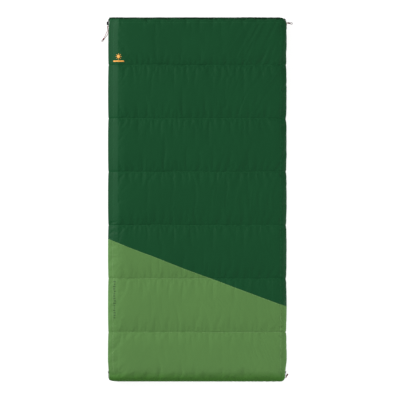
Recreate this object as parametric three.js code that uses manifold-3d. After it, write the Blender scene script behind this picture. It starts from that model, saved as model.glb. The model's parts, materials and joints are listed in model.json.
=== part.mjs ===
// A two-layer camp quilt: one long quilted sheet folded at the foot and zipped up both long sides.
// Millimetres. +Y points to the head end, +X to the right of someone looking down at the head end, +Z is up.
// The quilt lies shut on a floor at z = 0, with its centre over the origin.
import * as THREE from 'three';
import { mergeVertices } from 'three/addons/utils/BufferGeometryUtils.js';
import Module from 'manifold-3d';

const wasm = await Module();
wasm.setup();

// The quilt.
const QUILT_WIDTH = 922; // over the stitched side walls
const QUILT_LENGTH = 1905; // from the fold at the foot to the hems at the head
const LAYER_LOFT = 33; // thickness of each quilted layer
const SLEEPING_GAP = 8; // between the two linings
const CLOTH = 1; // shell, facing or lining with its seam allowance
const EDGE_RADIUS = 14; // rounding of the outer side edges
const FACING_WIDTH = 22; // strip of facing cloth seen beside the zip
const SEAM_START = -206.5; // y of the diagonal colour seam at the left side
const SEAM_DROP = 348; // how much lower the seam is at the right side
const CLEARANCE = 0.3; // between pieces that touch

// The zips.
const TAPE_THICKNESS = 0.8;
const TAPE_WIDTH = 12.5;
const TAPE_SLACK = 0.6; // between a tape and the facing over it
const TEETH_THICKNESS = 3;
const TEETH_WIDTH = 2.4;
const TEETH_GAP = 1.6; // between the two rows of teeth, where a slider's divider runs
const TEETH_MARGIN = 6; // from the ends of a tape to the teeth
const STOP_LENGTH = 3;

// The sliders and their tabs.
const SLIDER_LENGTH = 16;
const SLIDER_HEIGHT = 11;
const PLATE_THICKNESS = 1.5;
const TEETH_PLAY = 1; // between the teeth and each plate
const DIVIDER_THICKNESS = 1;
const DIVIDER_LENGTH = 8;
const ARCH_LENGTH = 10;
const ARCH_WIDTH = 3;
const ARCH_THICKNESS = 1.2;
const ARCH_OPENING = 2.2; // between the outer plate and the arch
const TAB_LENGTH = 34; // from its pivot to its free end
const TAB_WIDTH = 8;
const TAB_THICKNESS = 1.4;
const TAB_WINDOW = 5; // length of the window that the arch passes through
const TAB_SIDE_PLAY = 0.6; // between the arch and each side of the window
const CORD_HOLE_LENGTH = 6;
const CORD_HOLE_WIDTH = 4.4;
const CORD_HOLE_END = 2; // material left past the cord hole

// The cord pulls.
const CORD_DIAMETER = 2.2;
const SLEEVE_LENGTH = 12.5;
const SLEEVE_WIDTH = 5.8;
const SLEEVE_FLATNESS = 0.62; // height over width

// Worked out from the dimensions above.
const HEIGHT = 2 * LAYER_LOFT + SLEEPING_GAP;
const MIDDLE = HEIGHT / 2;
const SIDE = QUILT_WIDTH / 2;
const HEAD = QUILT_LENGTH / 2;
const FOLD = MIDDLE + CLEARANCE / 2 - HEAD; // y of the line that the front layer turns about
const INNER_FACE = MIDDLE + SLEEPING_GAP / 2; // z of the front lining's lower side
const FOLD_EDGE = FOLD + CLEARANCE / 2; // where both layers end at the foot
const TAPE_OUTSIDE = SIDE - CLOTH - TAPE_SLACK;
const TAPE_INSIDE = TAPE_OUTSIDE - TAPE_THICKNESS;
const ZIP_X = (TAPE_OUTSIDE + TAPE_INSIDE) / 2;
const FILL_SIDE = TAPE_INSIDE - CLEARANCE; // half the width of the fill and the lining
const FILL_HEAD = HEAD - CLOTH - CLEARANCE;
const TEETH_FOOT = FOLD + TEETH_MARGIN;
const TEETH_HEAD = FILL_HEAD - TEETH_MARGIN;
const PLATE_FACE = ZIP_X + TEETH_THICKNESS / 2 + TEETH_PLAY;
const PLATE_OUTSIDE = PLATE_FACE + PLATE_THICKNESS;
const PIVOT_X = PLATE_OUTSIDE + TAB_THICKNESS / 2 + 0.4;
const HOLE_CENTRE = TAB_LENGTH - CORD_HOLE_END - CORD_HOLE_LENGTH / 2;
const UPPER_SLIDER = TEETH_HEAD - SLIDER_LENGTH / 2;
const LOWER_SLIDER = TEETH_FOOT + SLIDER_LENGTH / 2;

const darkCloth = { color: 0x1e4c2f, roughness: 0.7, metalness: 0 };
const lightCloth = { color: 0x598049, roughness: 0.7, metalness: 0 };
const facingCloth = { color: 0x4a5a38, roughness: 0.75, metalness: 0 };
const liningCloth = { color: 0x6f7f6a, roughness: 0.85, metalness: 0 };
const fibreFill = { color: 0xe9e8e2, roughness: 1, metalness: 0 };
const zipTape = { color: 0x22301f, roughness: 0.9, metalness: 0 };
const zipTeeth = { color: 0x1b1f1b, roughness: 0.45, metalness: 0 };
const sliderMetal = { color: 0x141615, roughness: 0.4, metalness: 0.3 };
const tabPlastic = { color: 0x121413, roughness: 0.6, metalness: 0 };
const paleCord = { color: 0xc3afaa, roughness: 0.8, metalness: 0 };
const redSleeve = { color: 0x572b28, roughness: 0.5, metalness: 0 };

// ---- Making and cutting solids ----

function solidOf(geometry) {
  const bare = geometry.clone();
  bare.deleteAttribute('normal');
  bare.deleteAttribute('uv');
  const merged = mergeVertices(bare);
  const vertProperties = new Float32Array(merged.attributes.position.array);
  const triVerts = new Uint32Array(merged.index.array);
  return new wasm.Manifold(new wasm.Mesh({ numProp: 3, vertProperties, triVerts }));
}

function geometryOf(solid) {
  const mesh = solid.getMesh();
  const geometry = new THREE.BufferGeometry();
  geometry.setAttribute('position', new THREE.BufferAttribute(mesh.vertProperties, 3));
  geometry.setIndex(new THREE.BufferAttribute(mesh.triVerts, 1));
  geometry.computeVertexNormals();
  return geometry;
}

function mesh(name, geometry, finish) {
  const piece = new THREE.Mesh(geometry, new THREE.MeshStandardMaterial(finish));
  piece.name = name;
  return piece;
}

// A block between two opposite corners.
function block(low, high) {
  const size = high.map((value, axis) => value - low[axis]);
  const centre = high.map((value, axis) => (value + low[axis]) / 2);
  return new THREE.BoxGeometry(...size).translate(...centre);
}

// A section drawn in x and z, carried from one y to another.
function alongY(section, from, to) {
  const geometry = new THREE.ExtrudeGeometry(section, { depth: to - from, bevelEnabled: false, curveSegments: 6 });
  return geometry.rotateX(Math.PI / 2).translate(0, to, 0);
}

// A section drawn in y and z, carried from -halfWidth to +halfWidth.
function alongX(section, halfWidth) {
  const options = { depth: 2 * halfWidth, bevelEnabled: false, curveSegments: 12 };
  const geometry = new THREE.ExtrudeGeometry(section, options);
  return geometry.applyMatrix4(new THREE.Matrix4().set(0, 0, 1, -halfWidth, 1, 0, 0, 0, 0, 1, 0, 0, 0, 0, 0, 1));
}

// ---- One quilted layer, drawn as the front one ----

// The layer's section: flat towards the lining, with rounded outer edges.
function layerSection(side, top, bottom) {
  const radius = EDGE_RADIUS - (HEIGHT - top);
  const section = new THREE.Shape();
  section.moveTo(-side, bottom);
  section.lineTo(side, bottom);
  section.lineTo(side, top - radius);
  section.absarc(side - radius, top - radius, radius, 0, Math.PI / 2);
  section.lineTo(radius - side, top);
  section.absarc(radius - side, top - radius, radius, Math.PI / 2, Math.PI);
  section.closePath();
  return section;
}

// The shell of the whole layer: closed at the top, the sides and the head, open to the lining and the fold.
function layerSkin() {
  const outside = solidOf(alongY(layerSection(SIDE, HEIGHT, INNER_FACE), FOLD_EDGE, HEAD));
  const hollow = alongY(layerSection(SIDE - CLOTH, HEIGHT - CLOTH, INNER_FACE - CLOTH), FOLD - CLOTH, HEAD - CLOTH);
  return outside.subtract(solidOf(hollow));
}

// The part of the skin between the facings, and a facing strip.
function betweenFacings(skin) {
  const side = SIDE - FACING_WIDTH - CLEARANCE;
  return skin.intersect(solidOf(block([-side, FOLD - 1, 0], [side, HEAD + 1, HEIGHT + 1])));
}

function facing(skin, direction) {
  const inner = direction * (SIDE - FACING_WIDTH);
  const outer = direction * (SIDE + 1);
  const low = [Math.min(inner, outer), FOLD - 1, 0];
  const high = [Math.max(inner, outer), HEAD + 1, HEIGHT + 1];
  return geometryOf(skin.intersect(solidOf(block(low, high))));
}

// Everything above (way 1) or below (way -1) the diagonal colour seam.
function seamSide(way) {
  const reach = HEAD + 50;
  const slope = -SEAM_DROP / QUILT_WIDTH;
  const seamY = (x) => SEAM_START + slope * (x + SIDE) + way * CLEARANCE / 2;
  const outline = new THREE.Shape();
  outline.moveTo(-reach, seamY(-reach));
  outline.lineTo(-reach, way * 2 * reach);
  outline.lineTo(reach, way * 2 * reach);
  outline.lineTo(reach, seamY(reach));
  outline.closePath();
  return solidOf(new THREE.ExtrudeGeometry(outline, { depth: HEIGHT + 2, bevelEnabled: false }));
}

function fill() {
  const section = layerSection(FILL_SIDE, HEIGHT - CLOTH - CLEARANCE, INNER_FACE + CLOTH + CLEARANCE);
  return alongY(section, FOLD_EDGE, FILL_HEAD);
}

function lining() {
  return block([-FILL_SIDE, FOLD_EDGE, INNER_FACE], [FILL_SIDE, FILL_HEAD, INNER_FACE + CLOTH]);
}

// One side of a zip, hung from its layer: its tape, its row of teeth and a stop at each end of the row.
function halfZip(layerName, sideName, direction) {
  const teethLow = MIDDLE + TEETH_GAP / 2;
  const teethHigh = teethLow + TEETH_WIDTH;
  const tapeLow = teethHigh + CLEARANCE;
  const across = (x) => direction * x;
  const strip = (halfThickness, zLow, zHigh, from, to) => {
    const a = across(ZIP_X - halfThickness);
    const b = across(ZIP_X + halfThickness);
    return block([Math.min(a, b), from, zLow], [Math.max(a, b), to, zHigh]);
  };
  const teethHalf = TEETH_THICKNESS / 2;
  const name = (piece) => `${layerName}_${sideName}_zip_${piece}`;
  const tape = strip(TAPE_THICKNESS / 2, tapeLow, tapeLow + TAPE_WIDTH, FOLD_EDGE, FILL_HEAD);
  const teeth = strip(teethHalf, teethLow, teethHigh, TEETH_FOOT, TEETH_HEAD);
  const footStop = TEETH_FOOT - CLEARANCE;
  const headStop = TEETH_HEAD + CLEARANCE;
  return [
    mesh(name('tape'), tape, zipTape),
    mesh(name('teeth'), teeth, zipTeeth),
    mesh(name('foot_stop'), strip(teethHalf, teethLow, teethHigh, footStop - STOP_LENGTH, footStop), zipTeeth),
    mesh(name('head_stop'), strip(teethHalf, teethLow, teethHigh, headStop, headStop + STOP_LENGTH), zipTeeth),
  ];
}

// Turned over about the Y axis, the same pieces make the back layer, so its left is drawn at the right.
function layer(layerName, leftDirection, panels) {
  const skin = layerSkin();
  const group = new THREE.Group();
  group.add(...panels(betweenFacings(skin)));
  group.add(mesh(`${layerName}_fill`, fill(), fibreFill));
  group.add(mesh(`${layerName}_lining`, lining(), liningCloth));
  for (const [sideName, direction] of [['left', leftDirection], ['right', -leftDirection]]) {
    group.add(mesh(`${layerName}_${sideName}_facing`, facing(skin, direction), facingCloth));
    group.add(...halfZip(layerName, sideName, direction));
  }
  return group;
}

const frontLayer = layer('front', -1, (skin) => [
  mesh('front_upper_shell', geometryOf(skin.intersect(seamSide(1))), darkCloth),
  mesh('front_lower_shell', geometryOf(skin.intersect(seamSide(-1))), lightCloth),
]);

const backLayer = layer('back', 1, (skin) => [mesh('back_shell', geometryOf(skin), lightCloth)]);
backLayer.rotation.y = Math.PI;
backLayer.position.z = HEIGHT;

// ---- The fold at the foot, where shell, fill and lining roll from one layer into the other ----

// Half a disc about the fold line, drawn in y and z, with its straight side at y = end.
function halfDisc(radius, end) {
  const section = new THREE.Shape();
  section.moveTo(end, MIDDLE + radius);
  section.absarc(FOLD - CLEARANCE / 2, MIDDLE, radius, Math.PI / 2, 1.5 * Math.PI);
  section.lineTo(end, MIDDLE - radius);
  section.closePath();
  return section;
}

function roll(outerRadius, innerRadius, outerSide, innerSide) {
  const end = FOLD - CLEARANCE / 2;
  const outside = solidOf(alongX(halfDisc(outerRadius, end), outerSide));
  return geometryOf(outside.subtract(solidOf(alongX(halfDisc(innerRadius, end + 1), innerSide))));
}

const footFold = new THREE.Group();
const liningRadius = SLEEPING_GAP / 2;
footFold.add(mesh('foot_shell', roll(MIDDLE, MIDDLE - CLOTH, SIDE, SIDE - CLOTH), lightCloth));
const fillInner = liningRadius + CLOTH + CLEARANCE;
const fillOuter = MIDDLE - CLOTH - CLEARANCE;
footFold.add(mesh('foot_fill', roll(fillOuter, fillInner, SIDE - CLOTH - CLEARANCE, SIDE), fibreFill));
footFold.add(mesh('foot_lining', roll(liningRadius + CLOTH, liningRadius, FILL_SIDE, SIDE), liningCloth));

// ---- Sliders and tabs, drawn at the origin of their own group and for the right side ----

// Two plates joined by the divider between the rows of teeth, and the arch that holds the tab.
// The divider is at the end that the slider closes last: way 1 for a slider that shuts towards the head.
function sliderBody(way) {
  const halfLength = SLIDER_LENGTH / 2;
  const innerPlateTop = SLEEPING_GAP / 2 - 0.4;
  const teethHalf = TEETH_THICKNESS / 2 + TEETH_PLAY;
  const faceOut = teethHalf + PLATE_THICKNESS;
  const outer = block([teethHalf, -halfLength, -SLIDER_HEIGHT / 2], [faceOut, halfLength, SLIDER_HEIGHT / 2]);
  const inner = block([-faceOut, -halfLength, -innerPlateTop], [-teethHalf, halfLength, innerPlateTop]);
  const dividerEnds = [way * halfLength, way * (halfLength - DIVIDER_LENGTH)].sort((a, b) => a - b);
  const thin = DIVIDER_THICKNESS / 2;
  const divider = block([-teethHalf - 0.5, dividerEnds[0], -thin], [teethHalf + 0.5, dividerEnds[1], thin]);
  const archTop = faceOut + ARCH_OPENING + ARCH_THICKNESS;
  const archHalf = ARCH_LENGTH / 2;
  const arch = block([faceOut - 0.5, -archHalf, -ARCH_WIDTH / 2], [archTop, archHalf, ARCH_WIDTH / 2]);
  const footHalf = archHalf - ARCH_THICKNESS - 0.4;
  const opening = block([faceOut, -footHalf, -ARCH_WIDTH], [faceOut + ARCH_OPENING, footHalf, ARCH_WIDTH]);
  const hoop = solidOf(arch).subtract(solidOf(opening));
  return geometryOf(solidOf(outer).add(solidOf(inner)).add(solidOf(divider)).add(hoop));
}

// A flat tab with a window round the arch and a hole for the cord. It hangs towards -Y from its pivot.
function tab() {
  const halfWidth = TAB_WIDTH / 2;
  const rod = TAB_THICKNESS / 2;
  const outline = new THREE.Shape();
  outline.moveTo(-halfWidth, rod);
  outline.lineTo(-halfWidth, 3 - TAB_LENGTH);
  outline.absarc(3 - halfWidth, 3 - TAB_LENGTH, 3, Math.PI, 1.5 * Math.PI);
  outline.absarc(halfWidth - 3, 3 - TAB_LENGTH, 3, 1.5 * Math.PI, 2 * Math.PI);
  outline.lineTo(halfWidth, rod);
  outline.closePath();
  const cut = (halfAcross, from, to) => {
    const hole = new THREE.Path();
    hole.moveTo(-halfAcross, from);
    hole.lineTo(halfAcross, from);
    hole.lineTo(halfAcross, to);
    hole.lineTo(-halfAcross, to);
    hole.closePath();
    outline.holes.push(hole);
  };
  cut(ARCH_WIDTH / 2 + TAB_SIDE_PLAY, -rod - TAB_WINDOW, -rod);
  cut(CORD_HOLE_WIDTH / 2, -HOLE_CENTRE - CORD_HOLE_LENGTH / 2, -HOLE_CENTRE + CORD_HOLE_LENGTH / 2);
  const geometry = new THREE.ExtrudeGeometry(outline, { depth: TAB_THICKNESS, bevelEnabled: false, curveSegments: 4 });
  return geometry.rotateY(-Math.PI / 2).translate(TAB_THICKNESS / 2, 0, 0);
}

// ---- Cord pulls: two strands through the tab's hole, gripped by a sleeve, with a small end loop ----

// Each route point is [outwards from the hole, towards the head, share of the hole's height above the floor].
// The left one trails towards the foot, the right one lies straight out, and the lower one hangs to the floor
// and has no end loop.
const PULLS = {
  left_upper: {
    strands: {
      a: [[1, 1.3, 1], [2.8, 1.25, 0.97], [4.3, 0.9, 0.9], [5.2, -0.4, 0.78], [5.5, -3, 0.63], [5.5, -7, 0.45],
        [5.6, -12, 0.27], [6, -18, 0.1], [8, -25, 0.01], [12, -33.5, 0], [16.5, -44, 0], [20.4, -53.5, 0],
        [23.9, -60.7, 0]],
      b: [[1, -1.3, 1], [2.2, -1.35, 0.97], [3.2, -1.9, 0.9], [3.5, -3.6, 0.78], [3.3, -6.6, 0.6], [2.8, -11, 0.4],
        [2.3, -17, 0.2], [2.2, -24, 0.04], [2.9, -31, 0], [5.2, -41, 0], [11, -50.8, 0], [17, -57.6, 0],
        [21.7, -62.5, 0]],
    },
    sleeveStart: [23.3, -62.4],
    sleeveTurn: -54,
    loopRadius: 3.4,
  },
  right_upper: {
    strands: {
      a: [[1, 1.3, 1], [2.2, 1.4, 0.97], [3.2, 2.2, 0.9], [3.6, 4.4, 0.77], [3.7, 7.6, 0.6], [3.8, 11.2, 0.42],
        [4.1, 14.8, 0.23], [5, 18, 0.08], [7, 19.6, 0.01], [9.5, 19.5, 0], [12.4, 19.3, 0]],
      b: [[1, -1.3, 1], [2.8, -1.25, 0.97], [4.2, -0.7, 0.89], [5, 1, 0.76], [5.3, 4, 0.58], [5.6, 7.6, 0.4],
        [6, 11.2, 0.21], [6.8, 14.2, 0.07], [8.4, 16.2, 0.01], [10.4, 16.7, 0], [12.4, 16.7, 0]],
    },
    sleeveStart: [12.7, 18],
    sleeveTurn: -7,
    loopRadius: 5,
  },
  right_lower: {
    strands: {
      a: [[1, 1.3, 1], [2.3, 1.35, 0.97], [3.1, 1.4, 0.9], [3.3, 1.5, 0.78], [3.2, 1.5, 0.62], [3.1, 1.5, 0.45],
        [3, 1.5, 0.28], [3.05, 1.8, 0.13], [3.6, 2.9, 0.02], [5.07, 5.5, 0]],
      b: [[1, -1.3, 1], [2.8, -1.3, 0.96], [4.2, -1.25, 0.88], [4.7, -1.2, 0.75], [4.8, -1.2, 0.6],
        [4.9, -1.2, 0.43], [5, -1.2, 0.26], [5.2, -0.8, 0.12], [5.9, 1.2, 0.02], [7.33, 4.2, 0]],
    },
    sleeveStart: [6.4, 5.2],
    sleeveTurn: 60,
    loopRadius: 0,
  },
};

const FLOOR_GAP = 0.2; // keeps the cord's facets off the floor

function strand(points, holeHeight, direction) {
  const lowest = CORD_DIAMETER / 2 + FLOOR_GAP;
  const place = ([out, along, share]) => new THREE.Vector3(direction * out, along, (lowest - holeHeight) * (1 - share));
  const path = new THREE.CatmullRomCurve3(points.map(place), false, 'centripetal');
  const section = new THREE.Shape();
  for (let side = 0; side < 8; side += 1) {
    const angle = (side + 0.5) * Math.PI / 4;
    const point = [Math.cos(angle) * CORD_DIAMETER / 2, Math.sin(angle) * CORD_DIAMETER / 2];
    if (side === 0) section.moveTo(...point);
    else section.lineTo(...point);
  }
  section.closePath();
  return new THREE.ExtrudeGeometry(section, { steps: 3 * points.length, extrudePath: path, bevelEnabled: false });
}

// The sleeve is a flattened barrel along +X. The end loop is a ring lying flat behind it.
function sleeve() {
  const half = SLEEVE_WIDTH / 2;
  const profile = [[0, 0], [0.8, 0], [0.94, 0.08], [1, 0.3], [0.9, 0.75], [0.7, 0.97], [0.5, 1], [0, 1]];
  const points = profile.map(([radius, share]) => new THREE.Vector2(radius * half, share * SLEEVE_LENGTH));
  return new THREE.LatheGeometry(points, 12).rotateZ(-Math.PI / 2).scale(1, 1, SLEEVE_FLATNESS);
}

function cordPull(name, holeHeight, direction) {
  const pull = PULLS[name];
  const group = new THREE.Group();
  for (const [letter, points] of Object.entries(pull.strands)) {
    group.add(mesh(`${name}_cord_${letter}`, strand(points, holeHeight, direction), paleCord));
  }
  const end = new THREE.Group();
  const sleeveHeight = SLEEVE_WIDTH / 2 * SLEEVE_FLATNESS + FLOOR_GAP;
  const turn = THREE.MathUtils.degToRad(pull.sleeveTurn);
  end.position.set(direction * pull.sleeveStart[0], pull.sleeveStart[1], sleeveHeight - holeHeight);
  end.rotation.z = direction > 0 ? turn : Math.PI - turn;
  end.add(mesh(`${name}_cord_sleeve`, sleeve(), redSleeve));
  if (pull.loopRadius > 0) {
    const loop = new THREE.TorusGeometry(pull.loopRadius, CORD_DIAMETER / 2, 8, 18);
    const loopX = SLEEVE_LENGTH + CLEARANCE + pull.loopRadius + CORD_DIAMETER / 2;
    loop.translate(loopX, 0, CORD_DIAMETER / 2 + FLOOR_GAP - sleeveHeight);
    end.add(mesh(`${name}_cord_loop`, loop, paleCord));
  }
  group.add(end);
  return group;
}

function slider(sideName, endName, direction, y, way) {
  const name = `${sideName}_${endName}`;
  const group = new THREE.Group();
  const body = mesh(`${name}_slider`, sliderBody(direction * way), sliderMetal);
  body.position.set(direction * ZIP_X, y, MIDDLE);
  body.rotation.z = direction > 0 ? 0 : Math.PI;
  const pull = mesh(`${name}_tab`, tab(), tabPlastic);
  pull.position.set(direction * PIVOT_X, y, MIDDLE);
  group.add(body, pull);
  if (PULLS[name]) {
    const cord = cordPull(name, MIDDLE, direction);
    cord.position.set(direction * PIVOT_X, y - HOLE_CENTRE, MIDDLE);
    group.add(cord);
  }
  return group;
}

const quilt = new THREE.Group();
quilt.add(frontLayer, backLayer, footFold);
quilt.add(slider('left', 'upper', -1, UPPER_SLIDER, 1));
quilt.add(slider('right', 'upper', 1, UPPER_SLIDER, 1));
quilt.add(slider('left', 'lower', -1, LOWER_SLIDER, -1));
quilt.add(slider('right', 'lower', 1, LOWER_SLIDER, -1));

export default quilt;
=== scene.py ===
"""Looks of the camp quilt: padded shells, linings, zips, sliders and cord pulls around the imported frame.

Every piece is placed from the frame's own boxes and joints. Lengths are in metres; MM is one millimetre.
A shell is described in cloth coordinates: u across from the centre line, v from the middle of the foot roll.
"""

import json
import math

import bmesh
import bpy
import numpy as np
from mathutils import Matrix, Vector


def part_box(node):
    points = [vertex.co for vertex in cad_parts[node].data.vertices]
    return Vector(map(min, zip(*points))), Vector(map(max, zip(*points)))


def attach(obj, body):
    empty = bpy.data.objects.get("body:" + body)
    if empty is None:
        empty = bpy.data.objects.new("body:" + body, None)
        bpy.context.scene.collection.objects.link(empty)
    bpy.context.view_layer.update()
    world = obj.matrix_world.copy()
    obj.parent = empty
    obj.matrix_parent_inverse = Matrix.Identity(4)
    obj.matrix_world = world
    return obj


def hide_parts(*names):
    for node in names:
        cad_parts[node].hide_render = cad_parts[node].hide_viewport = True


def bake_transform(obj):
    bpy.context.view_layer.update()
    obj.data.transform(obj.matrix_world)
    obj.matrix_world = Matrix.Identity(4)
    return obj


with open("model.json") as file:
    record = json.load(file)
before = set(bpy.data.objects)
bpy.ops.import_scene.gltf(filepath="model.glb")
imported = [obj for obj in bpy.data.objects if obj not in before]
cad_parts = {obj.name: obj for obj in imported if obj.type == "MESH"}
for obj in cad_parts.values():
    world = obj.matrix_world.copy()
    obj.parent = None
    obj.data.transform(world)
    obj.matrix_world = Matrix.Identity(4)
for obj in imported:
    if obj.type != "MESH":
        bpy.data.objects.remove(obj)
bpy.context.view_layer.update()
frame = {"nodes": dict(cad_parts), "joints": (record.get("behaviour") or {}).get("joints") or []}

MM = 0.001

# The quilt, from the frame.
RIGHT_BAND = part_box("front_right_facing")
SIDE, HEAD, HEIGHT = RIGHT_BAND[1]
HINGE = next(joint for joint in frame["joints"] if joint["name"] == "front_turn_down")
_, FOLD, MIDDLE = HINGE["pos_m"]
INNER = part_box("front_lining")[0].z - MIDDLE
LOFT = HEIGHT - MIDDLE - INNER
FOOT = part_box("foot_shell")[0].y
FACING = SIDE - RIGHT_BAND[0].x
SEAM_LEFT = -0.2065
SEAM_RIGHT = -0.5545

# The quilting.
HEAD_CHANNEL = 0.251
CHANNEL = 0.2788
QUILT_LINES = [HEAD - HEAD_CHANNEL - CHANNEL * k for k in range(6)]
CREST = 3 * MM
LINE_DEPTH = 3.5 * MM
LEFT_BULGE = 4.5 * MM
RIGHT_BULGE = 8 * MM
BACK_BULGE = 4 * MM
HEAD_PULL = 16 * MM
SIM_CELL = 7 * MM
FINE_CELL = 3.5 * MM

# Each edge's outline from the zip to the crest: mm inside the widest point, shares of the loft and the bulge.
ZIP_SHARE = 0.09
RIGHT_EDGE = [
    (1.4, ZIP_SHARE, 0), (0.3, 0.2, 0.6), (0, 0.36, 1), (1.5, 0.6, 0.95), (6, 0.81, 0.6), (14, 0.94, 0.2),
    (26, 1, 0),
]
LEFT_EDGE = [
    (1.4, ZIP_SHARE, 0), (0.3, 0.2, 0.6), (0, 0.33, 1), (2, 0.42, 0.95), (9, 0.5, 0.7), (22, 0.66, 0.4),
    (36, 0.85, 0.15), (48, 1, 0),
]
HEAD_EDGE = [
    (1.4, ZIP_SHARE, 0), (0.3, 0.22, 0), (0, 0.4, 0), (2, 0.66, 0), (7, 0.86, 0), (13, 0.95, 0), (22, 1, 0),
]
# The plan's corner radii, by side (left -1, right 1) and end (foot -1, head 1).
CORNER_RADII = {(-1, -1): 18 * MM, (1, -1): 18 * MM, (-1, 1): 9 * MM, (1, 1): 38 * MM}
SEED = 7
THREAD_PITCH = 4.2 * MM


# ---- Meshes ----


def placed(name, data):
    """A new object in the scene."""
    shape = bpy.data.objects.new(name, data)
    bpy.context.scene.collection.objects.link(shape)
    return shape


def piece(name, points, faces, material, smooth=True):
    """A mesh object from points and faces that all have the same number of corners."""
    points = np.asarray(points, np.float32).reshape(-1, 3)
    faces = np.asarray(faces, np.int32)
    corners = faces.shape[1]
    mesh = bpy.data.meshes.new(name)
    mesh.vertices.add(len(points))
    mesh.vertices.foreach_set("co", points.ravel())
    mesh.loops.add(faces.size)
    mesh.loops.foreach_set("vertex_index", faces.ravel())
    mesh.polygons.add(len(faces))
    mesh.polygons.foreach_set("loop_start", np.arange(0, faces.size, corners, dtype=np.int32))
    mesh.polygons.foreach_set("use_smooth", np.full(len(faces), smooth))
    mesh.update(calc_edges=True)
    mesh.materials.append(material)
    return placed(name, mesh)


def grid_faces(rows, columns, around=False, flip=False):
    """The quads of a grid of points, row by row. With around, the last column joins the first."""
    column = np.arange(columns if around else columns - 1)
    following = (column + 1) % columns
    row = np.arange(rows - 1)[:, None] * columns
    above = row + columns
    faces = np.stack([row + column, row + following, above + following, above + column], axis=-1)
    return faces.reshape(-1, 4)[:, ::-1] if flip else faces.reshape(-1, 4)


def repeated(points, faces, count):
    """One shape's faces, repeated for count copies of its points."""
    return (faces[None] + np.arange(count)[:, None, None] * points).reshape(-1, faces.shape[1])


def reworked(shape, *steps):
    """A mesh object after some steps, each a function of its working mesh."""
    work = bmesh.new()
    work.from_mesh(shape.data)
    for step in steps:
        step(work)
    work.to_mesh(shape.data)
    work.free()
    return shape


def join_points(work):
    bmesh.ops.remove_doubles(work, verts=work.verts, dist=0.01 * MM)
    bmesh.ops.dissolve_degenerate(work, edges=work.edges, dist=0.001 * MM)


def turn_outward(work):
    bmesh.ops.recalc_face_normals(work, faces=work.faces)


def join_flat_faces(work):
    bmesh.ops.dissolve_limit(work, angle_limit=math.radians(2), verts=work.verts, edges=work.edges)


def merged(shape):
    """Joins a mesh's touching points, which closes its seams and poles, and turns its faces outward."""
    return reworked(shape, join_points, turn_outward)


def swept(name, rings, material):
    """A closed tube through rings of points (rings x points x 3), with a flat cap on each end."""
    first = np.repeat(rings[:1].mean(axis=1, keepdims=True), rings.shape[1], axis=1)
    last = np.repeat(rings[-1:].mean(axis=1, keepdims=True), rings.shape[1], axis=1)
    every = np.concatenate([first, rings, last])
    return merged(piece(name, every, grid_faces(*every.shape[:2], around=True), material))


# ---- Materials ----


def linear(colour):
    """An sRGB hex colour as linear RGBA."""
    values = np.array([int(colour[k : k + 2], 16) for k in (1, 3, 5)]) / 255
    low = values / 12.92
    high = ((values + 0.055) / 1.055) ** 2.4
    return (*np.where(values <= 0.04045, low, high), 1.0)


# The wave texture draws this many bands to the unit at a scale of one.
WAVES_PER_SCALE = 3.1831


class Finish:
    """A procedural material: its tree, its main shader and its Object coordinates."""

    def __init__(self, name, colour, roughness, specular=0.3, sheen=0.0):
        self.material = bpy.data.materials.new(name)
        self.material.use_nodes = True
        self.tree = self.material.node_tree
        self.shader = self.tree.nodes["Principled BSDF"]
        sockets = self.shader.inputs
        sockets["Base Color"].default_value = linear(colour)
        sockets["Roughness"].default_value = roughness
        sockets["Specular IOR Level"].default_value = specular
        sockets["Sheen Weight"].default_value = sheen
        self.material.diffuse_color = linear(colour)
        self.place = self.add("ShaderNodeTexCoord").outputs["Object"]

    def add(self, kind, settings=None, links=None):
        """Adds a node with its properties and its inputs, by name or number: each a socket or a value."""
        node = self.tree.nodes.new(kind)
        for key, value in (settings or {}).items():
            setattr(node, key, value)
        for key, value in (links or {}).items():
            if isinstance(value, bpy.types.NodeSocket):
                self.tree.links.new(value, node.inputs[key])
            else:
                node.inputs[key].default_value = value
        return node

    def tint(self, factor, first, second):
        """Colours the surface between two colours, sRGB or sockets, by a factor."""
        ends = [linear(end) if isinstance(end, str) else end for end in (first, second)]
        links = {0: factor, 6: ends[0], 7: ends[1]}
        mix = self.add("ShaderNodeMix", {"data_type": "RGBA"}, links)
        self.tree.links.new(mix.outputs[2], self.shader.inputs["Base Color"])

    def relief(self, height, depth, strength=1.0):
        """Bumps the surface by a height, depth metres deep at most."""
        links = {"Height": height, "Distance": depth, "Strength": strength}
        bump = self.add("ShaderNodeBump", links=links)
        self.tree.links.new(bump.outputs["Normal"], self.shader.inputs["Normal"])

    def noise(self, scale, detail=3.0):
        """Noise with that many clouds to the metre."""
        links = {"Vector": self.place, "Scale": scale, "Detail": detail}
        return self.add("ShaderNodeTexNoise", links=links).outputs[0]

    def wave(self, direction, pitch):
        """Smooth ridges at that pitch, in metres, running across the direction."""
        links = {"Vector": self.place, "Scale": 1 / pitch / WAVES_PER_SCALE}
        return self.add("ShaderNodeTexWave", {"bands_direction": direction}, links).outputs[1]

    def calculate(self, operation, first, second):
        return self.add("ShaderNodeMath", {"operation": operation}, {0: first, 1: second}).outputs[0]


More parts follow.
